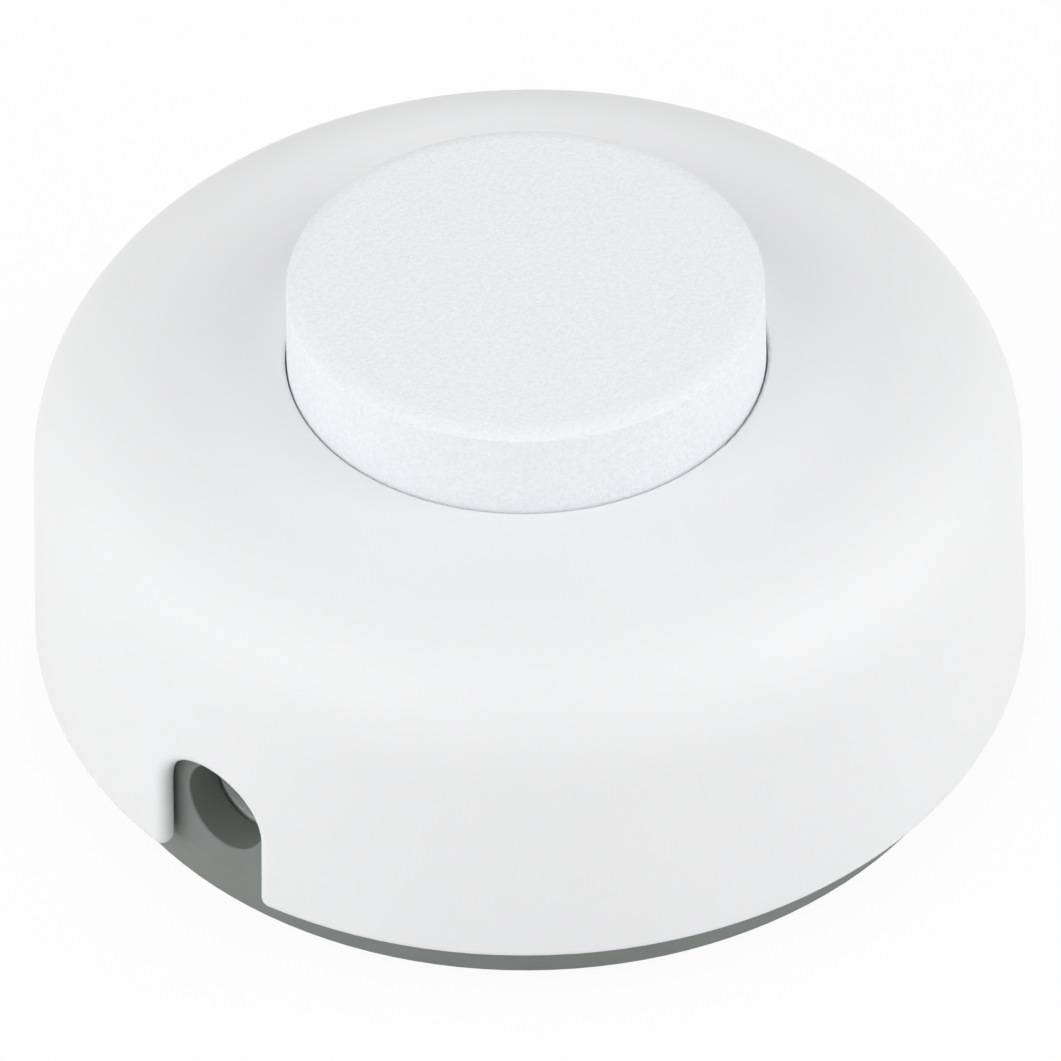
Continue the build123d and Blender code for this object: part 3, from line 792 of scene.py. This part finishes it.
def screw(thread, length, cross):
    """Screw that points down from its seat at Z = 0, with a cross or a slot in its head."""
    radius = HEAD_RATIO * thread
    head = screw_head(radius)
    cut_recess(head, radius if cross else SLOT_RATIO * radius, 0)
    if cross:
        cut_recess(head, radius, radians(90))
    return joined([head, screw_core(CORE_RATIO * thread, length), screw_thread(thread, length)], "screw")


# %% [markdown]
# A set of screws is one screw and its copies. The places come from the box round the plain solids: the
# heads touch its sides, so the seats lie one head radius in from its corners. The dome's two screws stand
# on one line, where corners fall together and the middle is the place. These two point up from below, and
# the others down.

# %% Place the screws
def seats(low, high, inset):
    """Places an inset in from both ends of a span, or its middle where these fall together."""
    first, last = low + inset, high - inset
    return (first, last) if last - first > inset else ((low + high) / 2,)


def screw_set(name, node, thread, length, cross, turn=0.0):
    """Copies of a screw at the corners of the box round a node."""
    low, high = (Vector(corner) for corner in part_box(node))
    inset = HEAD_RATIO * thread
    seat = high.z - HEAD_HEIGHT if turn == 0 else low.z + HEAD_HEIGHT
    places = [(x, y, seat) for x in seats(low.x, high.x, inset) for y in seats(low.y, high.y, inset)]
    first = screw(thread, length, cross)
    copies = []
    for place in places:
        copy = first.copy()
        copy.data = first.data.copy()
        bpy.context.collection.objects.link(copy)
        copy.location = place
        copy.rotation_euler = (turn, 0, 0)
        settle(copy)
        copies.append(copy)
    bpy.data.objects.remove(first)
    print(name, len(copies))
    finished(joined(copies, name), "base", plated_steel, node)


screw_set("slotted_terminal_screws", "terminal_screws", thread=1.5 * MM, length=4.0 * MM, cross=False)
screw_set("cross_clamp_screws", "clamp_screws", thread=1.3 * MM, length=8.5 * MM, cross=True)
screw_set(
    "cross_housing_screws", "housing_screws", thread=1.5 * MM, length=12.0 * MM, cross=True, turn=radians(180)
)

# %% [markdown]
# ## Light and floor
#
# A product like this is often photographed in a white light tent, with soft light from all sides. To the
# camera, and in reflections, the floor is nearly plain white. It could be all white, but a little of its own
# lit surface is mixed in, so it keeps a soft shadow under the switch.

# %% White floor
FLOOR_SIZE = 6.0
FLOOR_WHITE = 0.9
FLOOR_GLOW = 0.94
WHITE = (1, 1, 1, 1)

bpy.ops.mesh.primitive_plane_add(size=FLOOR_SIZE)
floor = bpy.context.object
floor.name = "floor"
tent_floor = Network(bpy.data.materials.new("white_floor"))
surface = tent_floor.tree.nodes["Principled BSDF"]
tent_floor.plug(surface.inputs["Base Color"], (FLOOR_WHITE, FLOOR_WHITE, FLOOR_WHITE, 1))
tent_floor.plug(surface.inputs["Roughness"], 1.0)
lit = Signal(tent_floor, surface.outputs["BSDF"])
glow = tent_floor.node("ShaderNodeEmission", {}, {"Color": WHITE, "Strength": 1.0})
mixed = tent_floor.node("ShaderNodeMixShader", {}, {0: tent_floor.shown() * FLOOR_GLOW, 1: lit, 2: glow})
tent_floor.plug(tent_floor.tree.nodes["Material Output"].inputs["Surface"], mixed)
floor.data.materials.append(tent_floor.owner)
print("floor", FLOOR_SIZE, "m")

# %% [markdown]
# The tent itself is the world. What lights the switch is its soft light, and what the camera and
# reflections see is plain white, so the background can be white without more light on the switch.

# %% Light tent
TENT_LIGHT = 0.39

tent = Network(bpy.data.worlds.new("light_tent"))
bpy.context.scene.world = tent.owner
soft_light = tent.tree.nodes["Background"]
tent.plug(soft_light.inputs["Color"], WHITE)
tent.plug(soft_light.inputs["Strength"], TENT_LIGHT)
lighting = Signal(tent, soft_light.outputs[0])
plain = tent.node("ShaderNodeBackground", {}, {"Color": WHITE, "Strength": 1.0})
tent_sky = tent.node("ShaderNodeMixShader", {}, {0: tent.shown(), 1: lighting, 2: plain})
tent.plug(tent.tree.nodes["World Output"].inputs["Surface"], tent_sky)
bpy.context.scene.view_settings.view_transform = "Standard"
print("tent light", TENT_LIGHT)

# %% [markdown]
# The tent alone would light the flat deck more than the upright wall. Softboxes stand round the switch to
# even that out: low ones at the sides, higher ones in front of them, and a weak one high up behind. The one
# before the notch also shines into the cord hole, where a little of the cord's saddle shows. Each has a
# turn from the camera's side and an elevation, both in degrees, and a power in watts.

# %% Softboxes
SOFTBOX_SIDE = 0.5
SOFTBOX_DISTANCE = 0.6
SOFTBOXES = {
    "left": (-90, 15, 0.9),
    "left_front": (-45, 38, 1.25),
    "right_front": (62, 40, 1.15),
    "right": (90, 15, 0.85),
    "rear": (180, 60, 0.4),
}


def softbox(name, turn, elevation, watts):
    """Square light that faces the switch, at a turn from the camera's side and an elevation in degrees."""
    place = direction(VIEW_AZIMUTH + radians(turn), radians(elevation)) * SOFTBOX_DISTANCE
    bpy.ops.object.light_add(type="AREA", location=place)
    lamp = bpy.context.object
    lamp.name = f"softbox_{name}"
    lamp.data.size = SOFTBOX_SIDE
    lamp.data.energy = watts
    lamp.rotation_mode = "QUATERNION"
    lamp.rotation_quaternion = faced(place, VIEW_CENTRE)


for name, (turn, elevation, watts) in SOFTBOXES.items():
    softbox(name, turn, elevation, watts)
print("softboxes:", len(SOFTBOXES))
